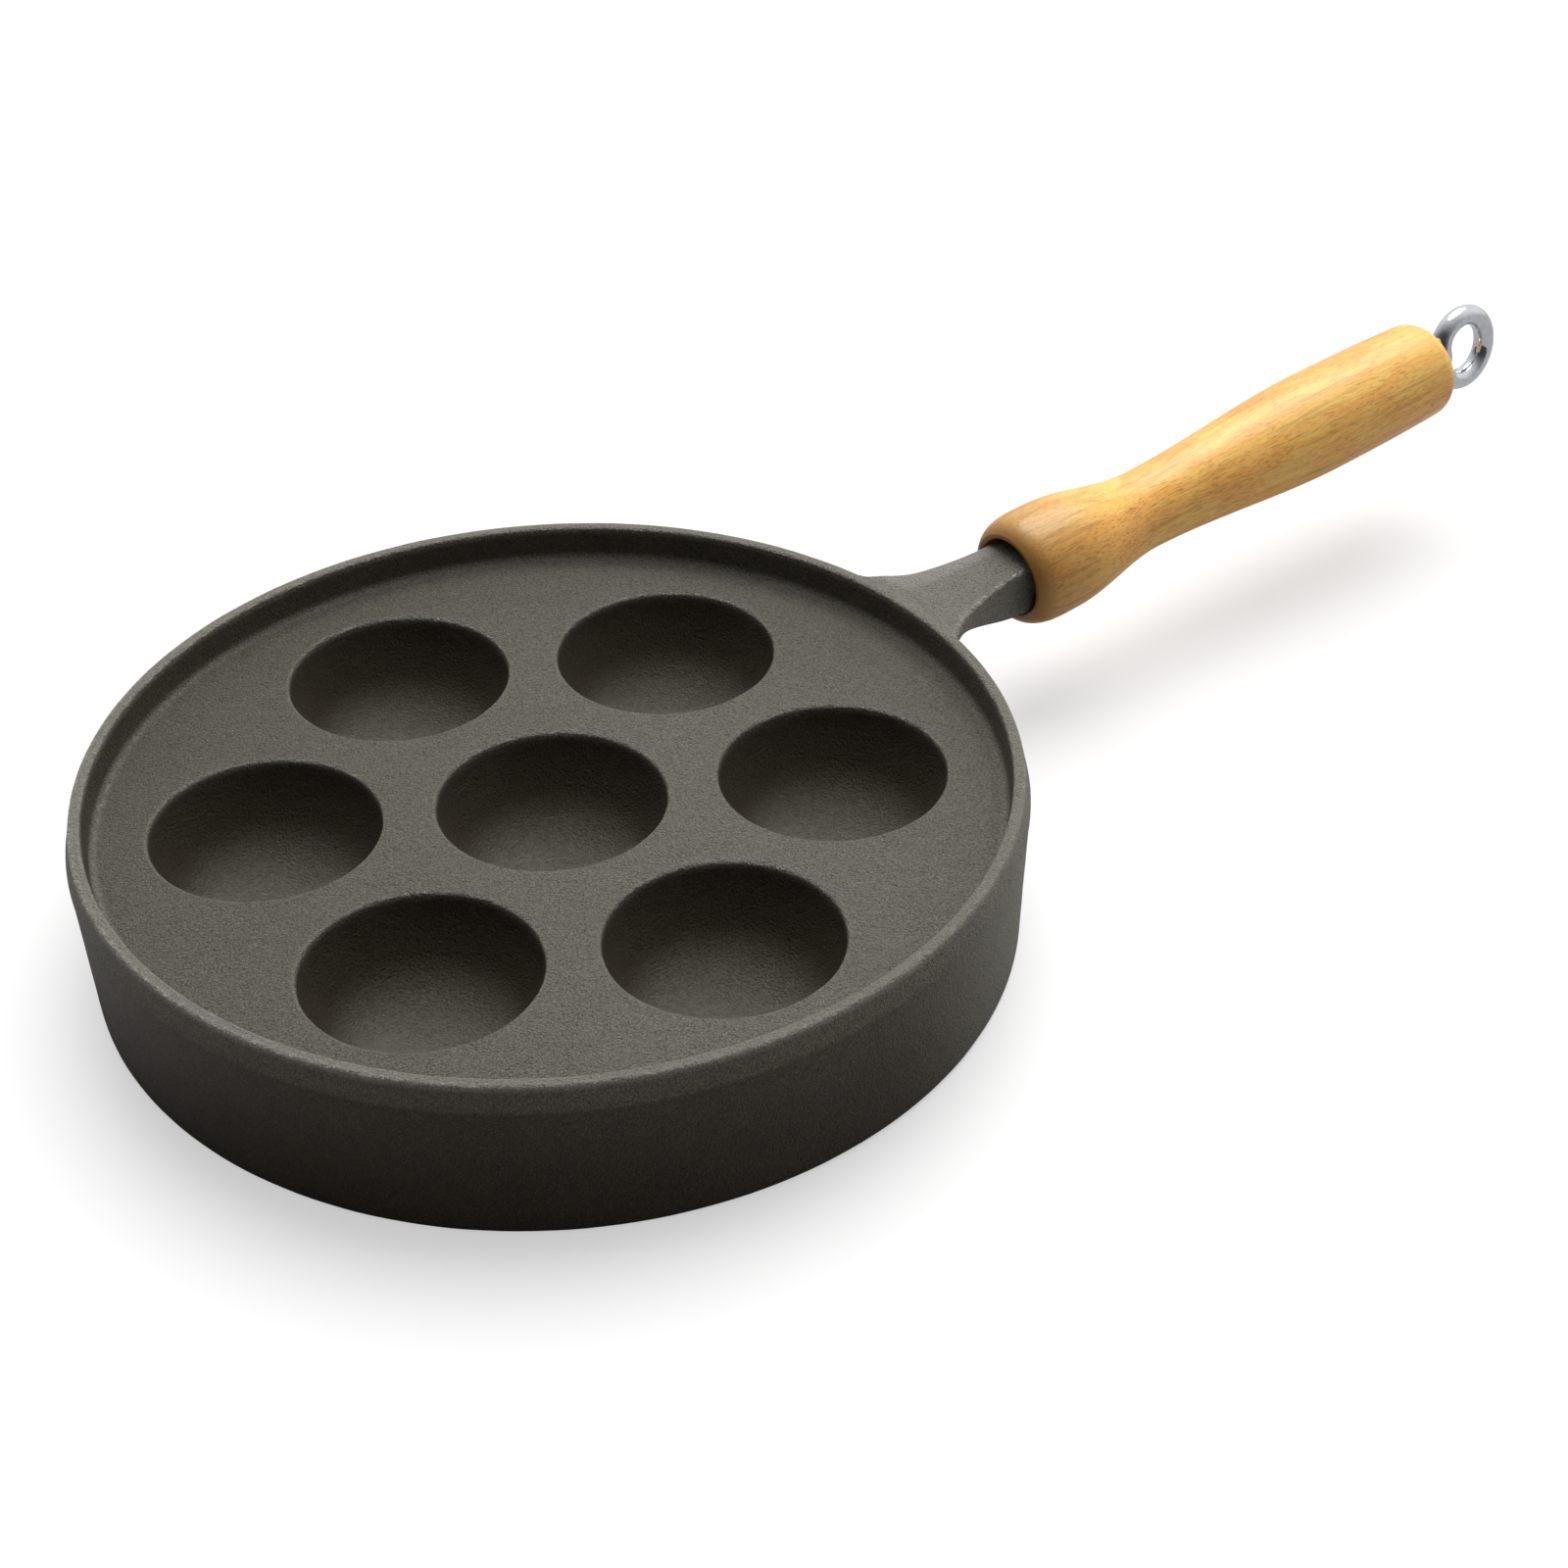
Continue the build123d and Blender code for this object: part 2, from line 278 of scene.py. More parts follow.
def curve_through(points, slopes, count):
    """Cubic pieces through points: the slope at a point is its direction times the chord."""
    points, slopes = np.asarray(points, float), np.asarray(slopes, float)
    slopes = slopes / np.linalg.norm(slopes, axis=1)[:, None]
    t = np.linspace(0, 1, count)[:, None]
    path = [points[:1]]
    for start, end, first, last in zip(points, points[1:], slopes, slopes[1:]):
        chord = np.linalg.norm(end - start)
        piece = ((2 * t**3 - 3 * t**2 + 1) * start + (t**3 - 2 * t**2 + t) * chord * first
                 + (3 * t**2 - 2 * t**3) * end + (t**3 - t**2) * chord * last)
        path.append(piece[1:])
    return np.concatenate(path)


def eased(low, high, value):
    """0 at low and 1 at high, with a soft step 3t^2 - 2t^3 between; low may be the larger."""
    t = np.clip((value - low) / (high - low), 0, 1)
    return t * t * (3 - 2 * t)


def bell(distance, width):
    """One at no distance, falling to about a third at the width."""
    return np.exp(-(distance / width) ** 2)


def once_round(count):
    """Even angles once round, without the last, which is the first again."""
    return np.arange(count) * (2 * math.pi / count)


def turned(profile, count, about=None):
    """A profile of (radius, height) turned about an axis: grid[i, j] is point i at angle j."""
    a = once_round(count)
    r, z = profile[:, :1], profile[:, 1:]
    grid = np.stack([r * np.cos(a), r * np.sin(a), z + 0 * a], 2)
    return grid if about is None else placed(grid, about)


def placed(grid, about):
    """A grid moved from its own axes to where they stand."""
    return grid @ about[:3, :3].T + about[:3, 3]


def thread_radius(eye, along, turn):
    """Radius of the screw thread: the crest less the depth times a wave along the pitch, which
    moves on by one pitch in one turn."""
    wave = np.cos(2 * math.pi * (along / eye.thread_pitch - turn / (2 * math.pi)))
    return eye.rod_radius - eye.thread_depth * (0.5 - 0.5 * wave)


def well_centres(pitch):
    """Angle round the pan and place of each well: the centre one, then the ring, with the arm
    between two of them."""
    ring = math.pi / WELLS_IN_RING * (2 * np.arange(WELLS_IN_RING) + 1)
    places = np.stack([pitch * np.cos(ring), pitch * np.sin(ring)], 1)
    return np.concatenate([[0.0], ring]), np.concatenate([[[0.0, 0.0]], places])


def cell_edges(pitch, outer_radius):
    """Points round a well's share of the plate, seen from the well's own centre.

    The centre well has a hexagon, each side half the pitch away: distance = half the pitch / cos
    of the angle from the side's normal. A ring well has three such sides, the two radial lines at
    half a sixth of the turn, and the arc of the outer circle."""
    half = pitch / 2
    sixth = math.pi / 3
    side = CELL_COLUMNS // 6
    a = once_round(CELL_COLUMNS)
    far = half / np.cos(a % sixth - sixth / 2)
    centre_cell = np.stack([far * np.cos(a), far * np.sin(a)], 1)
    outer = np.linspace(-sixth / 2, sixth / 2, ARC_COLUMNS + 1)
    outer = np.stack([outer_radius * np.cos(outer) - pitch, outer_radius * np.sin(outer)], 1)
    radial = np.linspace(outer_radius, pitch / math.cos(sixth / 2), side // 2 + 1)
    line = np.stack([radial * math.cos(sixth / 2) - pitch, radial * math.sin(sixth / 2)], 1)
    b = np.arange(side * 3 + 1) * (sixth / side)
    far = half / np.cos(b % sixth - sixth / 2)
    far[-1] = far[0]
    inner = np.stack([-far * np.sin(b), far * np.cos(b)], 1)
    back = line[::-1] * (1, -1)
    ring_cell = np.concatenate([outer, line[1:-1], inner, back[1:-1]])
    return centre_cell, ring_cell


def well_cells(pan, ball_radius, round_radius, plane_height, outer_radius, ball_rows, flat_rows):
    """Seven cells of a plate, each with its ball, its rounding and its flat, as grids.

    Ball: radius sin a out and radius cos a down from the ball's centre. The rounding's centre is
    its radius below the plane and the sum of both radii from the ball's centre. The flat runs in
    straight lines from the rounding to the cell's edge."""
    depth, mouth = pan.well_depth, pan.mouth_radius
    centre_height = pan.height - pan.plate_depth - depth + (mouth**2 + depth**2) / (2 * depth)
    drop = centre_height - plane_height + round_radius
    round_out = math.sqrt((ball_radius + round_radius) ** 2 - drop**2)
    a = np.linspace(0, math.atan2(round_out, drop), ball_rows)
    ball = np.stack([ball_radius * np.sin(a), centre_height - ball_radius * np.cos(a)], 1)
    start = math.atan2(drop, -round_out)
    bend = arc((round_out, plane_height - round_radius), round_radius, start, math.pi / 2, count=8)[1:]
    profile = np.concatenate([ball, bend])
    centre_cell, ring_cell = cell_edges(pan.pitch_radius, outer_radius)
    turns, places = well_centres(pan.pitch_radius)
    t = steps(flat_rows)[1:, None]
    cells = []
    for turn, place in zip(turns, places):
        edge = ring_cell if np.any(place) else centre_cell
        edge = edge @ np.array([[math.cos(turn), math.sin(turn)], [-math.sin(turn), math.cos(turn)]])
        far = np.linalg.norm(edge, axis=1)
        heading = edge / far[:, None]
        out = np.concatenate([np.repeat(profile[:, :1], len(far), 1), round_out + t * (far - round_out)])
        up = np.concatenate([profile[:, 1], np.full(len(t), plane_height)])
        xy = place + out[..., None] * heading
        cells.append(np.concatenate([xy, np.broadcast_to(up[:, None, None], (*out.shape, 1))], 2))
    return cells


def quads(rows, columns, wrap_rows=False):
    """Corner numbers of the faces of a grid whose columns close on themselves."""
    i = np.arange(rows if wrap_rows else rows - 1)[:, None]
    j = np.arange(columns)[None]
    down, right = (i + 1) % rows, (j + 1) % columns
    faces = np.stack([i * columns + j, down * columns + j, down * columns + right, i * columns + right], 2)
    return faces.reshape(-1, 4)


def make_piece(name, grids, surface, body, node, wrap_rows=False):
    """One closed mesh from grids of points: seams and poles are merged, faces turned outwards."""
    faces, first = [], 0
    for grid in grids:
        faces.append(quads(grid.shape[0], grid.shape[1], wrap_rows) + first)
        first += grid.shape[0] * grid.shape[1]
    mesh = bpy.data.meshes.new(name)
    points = np.concatenate([grid.reshape(-1, 3) for grid in grids])
    mesh.from_pydata(points.tolist(), [], np.concatenate(faces).tolist())
    work = bmesh.new()
    work.from_mesh(mesh)
    bmesh.ops.remove_doubles(work, verts=work.verts, dist=MERGED_WITHIN)
    bmesh.ops.recalc_face_normals(work, faces=work.faces)
    open_edges = sum(1 for edge in work.edges if not edge.is_manifold)
    work.to_mesh(mesh)
    work.free()
    if open_edges:
        raise RuntimeError(f"{name} has {open_edges} open edges")
    mesh.polygons.foreach_set("use_smooth", np.ones(len(mesh.polygons), bool))
    mesh.materials.append(surface)
    piece = bpy.data.objects.new(name, mesh)
    bpy.context.scene.collection.objects.link(piece)
    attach(piece, body)
    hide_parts(node)
    return piece


def read_vectors(collection, name):
    """A mesh's places or normals, as rows."""
    rows = np.empty(len(collection) * 3, np.float32)
    collection.foreach_get(name, rows)
    return rows.reshape(-1, 3).astype(float)


def sink(piece, size, wave_length, still_at, still_within):
    """Moves each vertex inwards by up to a size: a slow wave made of crossed sines of the place,
    which fades out near a place that another piece meets."""
    places = read_vectors(piece.data.vertices, "co")
    normals = read_vectors(piece.data.vertex_normals, "vector")
    x, y, z = (places * (2 * math.pi / wave_length)).T
    wave = (np.sin(x + 1.3 * np.sin(0.61 * y + 0.4)) * np.cos(0.83 * y + 0.7 * z + 1.1)
            + 0.6 * np.sin(1.9 * x - 1.3 * y + 2.1) * np.cos(1.7 * z + 0.9)) / 1.6
    free = eased(0.6 * still_within, still_within, np.linalg.norm(places - still_at, axis=1))
    places -= normals * (size * free * (0.5 + 0.5 * wave))[:, None]
    piece.data.vertices.foreach_set("co", places.astype(np.float32).ravel())
    piece.data.update()


def paint(piece, **masks):
    """The iron's masks, a number for each vertex: a mask that isn't given is nought."""
    for name in MASKS:
        values = np.broadcast_to(masks.get(name, 0.0), len(piece.data.vertices)).astype(np.float32)
        piece.data.attributes.new(name, "FLOAT", "POINT").data.foreach_set("value", values)


# Shader maths as expressions

class Signal:
    """A shader socket: sums, differences, products and powers of it add their Math nodes."""

    def __init__(self, recipe, socket):
        self.recipe, self.socket = recipe, socket

    def maths(self, operation, *values):
        """A Math node with this operation."""
        return self.recipe.node("ShaderNodeMath", {"operation": operation}, dict(enumerate(values)))

    def __add__(self, other):
        return self.maths("ADD", self, other)

    def __sub__(self, other):
        return self.maths("SUBTRACT", self, other)

    def __rsub__(self, other):
        return self.maths("SUBTRACT", other, self)

    def __mul__(self, other):
        return self.maths("MULTIPLY", self, other)

    def __pow__(self, other):
        return self.maths("POWER", self, other)

    __radd__ = __add__
    __rmul__ = __mul__

    def clamped(self):
        """Held between 0 and 1."""
        return self.maths("MINIMUM", self.maths("MAXIMUM", self, 0.0), 1.0)

    def ramp(self, low, high):
        """0 at low and 1 at high, with a soft step between; low may be the larger."""
        return self.recipe.node("ShaderNodeMapRange", {"interpolation_type": "SMOOTHSTEP"},
                                {"Value": self, "From Min": low, "From Max": high})

    def part(self, name):
        """The X, Y or Z of a vector."""
        return self.recipe.node("ShaderNodeSeparateXYZ", {}, {"Vector": self}, output=name)


class Recipe:
    """A material or a sky that is being made in a node tree."""

    def __init__(self, tree):
        self.tree = tree
        self.tree.nodes.clear()

    def node(self, kind, options, inputs, output=0):
        """Any node: its options are set first, then its sockets get values or links. It gives the
        output that has this number or name, or nothing where output is None."""
        made = self.tree.nodes.new(kind)
        for name, value in options.items():
            setattr(made, name, value)
        for key, value in inputs.items():
            if isinstance(key, int):
                socket = made.inputs[key]
            else:
                socket = next(s for s in made.inputs if s.enabled and s.name == key)
            if isinstance(value, Signal):
                self.tree.links.new(value.socket, socket)
            else:
                socket.default_value = value
        if output is None:
            return None
        outputs = [socket for socket in made.outputs if socket.enabled]
        if isinstance(output, int):
            return Signal(self, outputs[output])
        return Signal(self, next(socket for socket in outputs if socket.name == output))

    def place(self, scale=1.0, turn=(0.0, 0.0, 0.0), move=(0.0, 0.0, 0.0)):
        """Object coordinates, scaled, turned and moved: a scale of 1 / MM gives millimetres."""
        here = self.node("ShaderNodeTexCoord", {}, {}, output="Object")
        return self.node("ShaderNodeMapping", {"vector_type": "POINT"},
                         {"Vector": here, "Location": move, "Rotation": turn, "Scale": (scale,) * 3})

    def stretched(self, place, scale):
        """A place scaled along its own axes."""
        return self.node("ShaderNodeVectorMath", {"operation": "MULTIPLY"}, {0: place, 1: scale})

    def noise(self, place, scale, detail=2.0, roughness=0.5):
        """Soft noise between 0 and 1."""
        return self.node("ShaderNodeTexNoise", {},
                         {"Vector": place, "Scale": scale, "Detail": detail, "Roughness": roughness})

    def cells(self, place, scale):
        """Distance to the nearest of scattered points."""
        return self.node("ShaderNodeTexVoronoi", {}, {"Vector": place, "Scale": scale})

    def rays(self):
        """What kind of ray meets the surface: each answer by its name."""
        path = self.node("ShaderNodeLightPath", {}, {})
        return {socket.name: Signal(self, socket) for socket in path.socket.node.outputs}

    def attribute(self, name):
        """A painted number, read by its name."""
        return self.node("ShaderNodeAttribute", {"attribute_name": name}, {}, output="Fac")

    def mix(self, factor, first, second):
        """Two colours mixed; a colour is three numbers or a link."""
        first, second = (c if isinstance(c, Signal) else (*c, 1.0) for c in (first, second))
        return self.node("ShaderNodeMix", {"data_type": "RGBA"},
                         {"Factor": factor, "A": first, "B": second})

    def bump(self, height, distance, normal=None):
        """A normal tilted by a height, on top of another normal where one is given."""
        inputs = {"Height": height, "Distance": distance}
        if normal is not None:
            inputs["Normal"] = normal
        return self.node("ShaderNodeBump", {}, inputs)

    def finish(self, inputs):
        """The shader with its sockets set or linked, and the material's output."""
        shader = self.node("ShaderNodeBsdfPrincipled", {}, inputs)
        self.node("ShaderNodeOutputMaterial", {}, {"Surface": shader}, output=None)


def new_material(name):
    """An empty material and the recipe that fills it."""
    made = bpy.data.materials.new(name)
    made.use_nodes = True
    return made, Recipe(made.node_tree)


def material(make):
    """The material that a function makes, made once."""
    return bpy.data.materials.get(make.__name__) or make()


def seasoned_iron():
    """Sand-cast iron, seasoned: pebbly satin iron, brown where seasoning has baked on and where shade is
    painted, bright where the edges show wear and where highlights are painted, with pale specks on the
    grain as painted glints. The grain and the fine noise follow the sand's grain, the others are slower."""
    finish = settings().finish
    made, recipe = new_material("seasoned_iron")
    here = recipe.place(1 / MM)
    edge, well, land, oil, pale, base = (recipe.attribute(name) for name in MASKS)
    per_grain = MM / finish.grain_size
    grain = recipe.cells(here, per_grain)
    fine = recipe.noise(here, 2.4 * per_grain, 2.0, 0.6)
    broad = recipe.noise(here, 0.04, 3.0, 0.55)
    blotch = recipe.noise(here, 0.21, 3.0, 0.6)
    grit = recipe.noise(here, 0.7, 2.0, 0.5)
    smooth = (land * 0.5 + well * 0.5).clamped()
    cast = (1.0 - grain * grain) * 0.6 + fine * 0.8
    # Paler iron: dry iron on the arm and the rim's land, a painted highlight at the foot of the rim's wall
    # and painted light on the arm's +Y side
    tone = recipe.mix(pale * (blotch.ramp(0.2, 0.6) * 0.3 + 0.7), finish.iron, finish.iron_pale)
    # Brown over random patches, on the rim's wall, the plate on the side away from the grip, the skirt and
    # inside the wells: partly baked-on seasoning, partly painted shade; less at the wells' bottoms
    stain_and_shade = broad.ramp(0.42, 0.68) * 0.06 + oil * (blotch * 0.4 + 0.75) + well * 0.8 - base * 0.35
    tone = recipe.mix(stain_and_shade.clamped(), tone, finish.iron_brown)
    # Near-black in blotches where the brown is heaviest and on the upper half of the wells' walls: painted
    # shade, with some heavy seasoning in the blotches
    burnt_and_shade = (oil * oil * blotch.ramp(0.70, 0.30) * 0.5 + (well - base) * 0.5 + base * 0.1).clamped()
    tone = recipe.mix(burnt_and_shade, tone, finish.iron_dark)
    low = (grain.ramp(0.35, 0.8) * 0.25 + fine.ramp(0.5, 0.32) * 0.55).clamped()
    tone = recipe.mix(low * (1.0 - smooth * 0.6), tone, finish.iron_dark)
    # Bare iron on the edges: wear, and a painted highlight on the foot of the rim's wall and on the arm's
    # -Y crest
    worn_and_highlit = (edge * (grit.ramp(0.48, 0.64) * 0.6 + 0.2)).clamped()
    # Pale specks of bare iron on the grain, outside the wells: painted glints
    bright = fine.ramp(0.55, 0.70) * (1.0 - oil * 0.7) * (1.0 - well) * 0.7
    # Paler bottoms of the wells: partly wear, partly painted light
    rubbed_and_lit = base * (grit.ramp(0.3, 0.7) * 0.14 + 0.22)
    tone = recipe.mix((bright + worn_and_highlit * 0.85 + rubbed_and_lit).clamped(), tone, finish.iron_bare)
    rough = 0.44 + low * 0.14 - smooth * 0.05 - worn_and_highlit * 0.10
    bump = recipe.bump(cast * (1.0 - smooth * 0.5), 1.3 * MM * finish.pebble)
    bump = recipe.bump(blotch + grit * 0.3, 0.5 * MM, bump)
    metal = (worn_and_highlit * 0.6 + well * 0.4 + 0.3).clamped()
    recipe.finish({"Base Color": tone, "Roughness": rough, "Metallic": metal, "Normal": bump})
    return made


def lacquered_wood():
    """Turned wood under clear lacquer: rings about a pith beside the grip, streaks and fine pores
    that run along the grip."""
    finish, rise = settings().finish, settings().arm.axis_rise
    made, recipe = new_material("lacquered_wood")
    move = Matrix.Rotation(rise, 4, "Y") @ Vector(-grip_front() / MM)
    here = recipe.place(1 / MM, (0.0, rise, 0.0), tuple(move))
    along, y, z = here.part("X"), here.part("Y"), here.part("Z")

    def drawn_out(slow, quick, detail, roughness=0.5):
        """Noise that changes slowly along the grip and quickly across it."""
        return recipe.noise(recipe.stretched(here, (slow, quick, quick)), 1.0, detail, roughness)

    bent = drawn_out(0.012, 0.05, 2.0)
    out = ((y + PITH[0]) ** 2 + (z + PITH[1]) ** 2) ** 0.5
    rings = out.maths("FRACT", 0.3 * out + 6.0 * bent)
    late = rings.ramp(0.35, 0.92) * (1.0 - rings.ramp(0.92, 1.0))
    streaks = drawn_out(0.05, 1.1, 4.0, 0.65)
    pores = drawn_out(0.30, 3.2, 2.0, 0.6)
    lines = drawn_out(0.018, 0.5, 3.0, 0.6)
    figure = drawn_out(0.035, 0.09, 3.0, 0.6)
    # Darker and more porous towards the front bulb and at the front face beside the arm: partly a browner
    # tone, partly painted shade
    front = along.ramp(32.0, 4.0) * 0.65 + along.ramp(6.0, 0.0) * 0.4
    tone = recipe.mix((late * 0.5 + streaks.ramp(0.35, 0.7) * 0.5).clamped(), finish.wood_light,
                      finish.wood)
    tone = recipe.mix(figure.ramp(0.42, 0.66) * 0.55, tone, finish.wood_red)
    tone = recipe.mix((lines.ramp(0.53, 0.70) * 0.42 + front).clamped(), tone, finish.wood_dark)
    open_pores = pores.ramp(0.51, 0.64) * (front * 0.5 + figure.ramp(0.35, 0.6) * 0.3 + 0.3)
    tone = recipe.mix(open_pores.clamped(), tone, finish.wood_pore)
    bump = recipe.bump(1.0 - pores.ramp(0.56, 0.72), 0.01 * MM)
    recipe.finish({"Base Color": tone, "Roughness": 0.42 + streaks * 0.12, "Normal": bump,
                   "Coat Weight": 0.25 + figure * 0.1, "Coat Roughness": 0.22,
                   "Coat IOR": 1.5, "Specular IOR Level": 0.4})
    return made


def chrome_plate():
    """Bright chrome with a little haze and the fine unevenness of the wire under it."""
    finish = settings().finish
    made, recipe = new_material("chrome_plate")
    here = recipe.place(1 / MM)
    haze = recipe.noise(here, 0.6, 3.0)
    ripple = recipe.noise(here, 0.25, 1.0)
    tone = recipe.mix(haze.ramp(0.35, 0.8) * 0.4, finish.chrome, finish.chrome_haze)
    recipe.finish({"Base Color": tone, "Metallic": 1.0, "Roughness": 0.05 + haze * 0.07,
                   "Normal": recipe.bump(ripple + haze * 0.2, 0.12 * MM)})
    return made


def grip_front():
    """The middle of the grip's front face."""
    s = settings()
    height = s.pan.height - s.arm.axis_drop + s.arm.length * math.tan(s.arm.axis_rise)
    return np.array([s.pan.rim_radius + s.arm.length, 0.0, height])


def handle_frame():
    """Axes of the handle: first sideways, second up, third along the handle, from the grip's front."""
    rise = settings().arm.axis_rise
    matrix = np.eye(4)
    matrix[:3, 0] = (0, 1, 0)
    matrix[:3, 1] = (-math.sin(rise), 0, math.cos(rise))
    matrix[:3, 2] = (math.cos(rise), 0, math.sin(rise))
    matrix[:3, 3] = grip_front()
    return matrix


class PAN_OT_body(bpy.types.Operator):
    """Build the pan: rim, skirt, plate, seven wells and their bowls"""
    bl_idname = "pan.body"
    bl_label = "Pan Body"

    def execute(self, context):
        pan = settings().pan
        plate = pan.height - pan.plate_depth
        under = plate - pan.plate_thickness
        inner_foot = pan.foot_radius - pan.foot_wall
        inner_top = inner_foot - under * math.tan(pan.inner_draft)
        top_edge = pan.rim_radius - pan.rim_land - pan.wall_lean - pan.corner_round
        under_edge = inner_top - pan.underside_round
        ball = (pan.mouth_radius**2 + pan.well_depth**2) / (2 * pan.well_depth)
        seam = pan.parting_radius - pan.parting_flash
        parting = pan.height - pan.parting_depth
        # The mould's seam is a ridge, six times as wide as it stands out
        ridge = 3 * pan.parting_flash
        ridge_round = 0.6 * ridge
        rim = outline(
            [(top_edge, plate), (pan.rim_radius - pan.rim_land - pan.wall_lean, plate),
             (pan.rim_radius - pan.rim_land, pan.height), (pan.rim_radius, pan.height),
             (seam, parting + ridge), (pan.parting_radius, parting), (seam, parting - ridge),
             (pan.foot_radius, 0), (inner_foot, 0), (inner_top, under), (under_edge, under)],
            [pan.corner_round, pan.rim_round, pan.rim_round, ridge_round, ridge_round, ridge_round,
             pan.foot_round, pan.foot_inner_round, pan.underside_round])
        top = well_cells(pan, ball, pan.lip_round, plate, top_edge, ball_rows=32, flat_rows=7)
        bottom = well_cells(pan, ball + pan.well_wall, pan.root_round, under, under_edge,
                            ball_rows=28, flat_rows=5)
        piece = make_piece("pan_body", [*top, *bottom, turned(rim, TURN_COLUMNS)], material(seasoned_iron),
                           "casting", "pan_casting")
        sink(piece, pan.waviness, WAVE_LENGTH, (pan.rim_radius, 0, pan.height), STILL_WITHIN)
        self.paint_finish(piece, pan, plate, ball)
        return {"FINISHED"}

    @staticmethod
    def paint_finish(piece, pan, plate, ball):
        """Masks from the place of each vertex: edges with wear and a painted highlight, wells with painted
        shade and light, the rim's land, and a brown tone of baked-on seasoning and painted shade.
        """
        x, y, z = read_vectors(piece.data.vertices, "co").T
        out = np.hypot(x, y)
        centres = well_centres(pan.pitch_radius)[1]
        near = np.min(np.hypot(x[:, None] - centres[:, 0], y[:, None] - centres[:, 1]), axis=1)
        inner = pan.rim_radius - pan.rim_land
        outer_edge = np.hypot(out - pan.rim_radius + 0.25 * MM, z - pan.height + 0.25 * MM)
        inner_edge = np.hypot(out - inner - 0.25 * MM, z - pan.height + 0.25 * MM)
        rim_edges = bell(outer_edge, 0.7 * MM) + 0.7 * bell(inner_edge, 0.6 * MM)
        wall_foot = inner - pan.wall_lean - 0.4 * pan.corner_round
        foot = bell(np.hypot(out - wall_foot, z - plate - 0.2 * MM), 0.8 * MM)
        lip = bell(np.hypot(near - pan.mouth_radius - 0.25 * MM, z - plate + 0.3 * MM), 0.6 * MM)
        # The rim's edges show wear, strongest on the side away from the grip, and the wells' lips a
        # little; the foot of the rim's wall gets a painted highlight, on that side only.
        side = (0.85 * x - 0.53 * y) / pan.rim_radius
        away = eased(0.1, -0.7, side)
        worn_and_highlit = rim_edges * (0.35 + 0.65 * away) + 0.5 * lip + 0.8 * foot * away
        inside = (near < pan.mouth_radius + 0.5 * MM) & (z > plate - pan.well_depth - 1 * MM)
        inside = inside & (np.hypot(near, z - (plate - pan.well_depth + ball)) < ball + 1.5 * MM)
        land = eased(-1.2 * MM, -0.4 * MM, z - pan.height) * eased(-0.8 * MM, 0.2 * MM, out - inner)
        # A brown tone round the rim's wall, over the plate on that same side, and outside, most below the
        # parting line
        # and towards the hob: partly baked-on seasoning, partly painted shade. On the skirt it fades out
        # towards +X and -Y, so that side reads as lit.
        wall = eased(0.8 * MM, 2.2 * MM, z - plate) * (1 - eased(-1.5 * MM, -0.5 * MM, z - pan.height))
        within = 0.85 * wall + 0.35 * eased(0.5, -0.9, side) * (1 - land)
        below = eased(1.5 * MM, -1.5 * MM, z - pan.height + pan.parting_depth)
        outside = eased(1.0, 0.6, side) * (0.55 + 0.25 * below + 0.2 * eased(0.8, 0.3, z / pan.height))
        skirt = (out > inner + 0.2 * MM) & (z < pan.height - pan.rim_round)
        # The foot of the rim's wall is painted pale as a highlight; the rim's land is a little paler
        paint(piece, edge=np.clip(worn_and_highlit, 0, 1), land=land, pale=np.clip(0.2 * land + 0.6 * foot, 0, 1),
              well=np.where(inside, eased(0, 3 * MM, plate - z), 0.0),
              base=np.where(inside, eased(0.5, 1.0, (plate - z) / pan.well_depth), 0.0),
              oil=np.clip(np.where(skirt, outside, within * (z > plate - 0.1 * MM)), 0, 1))


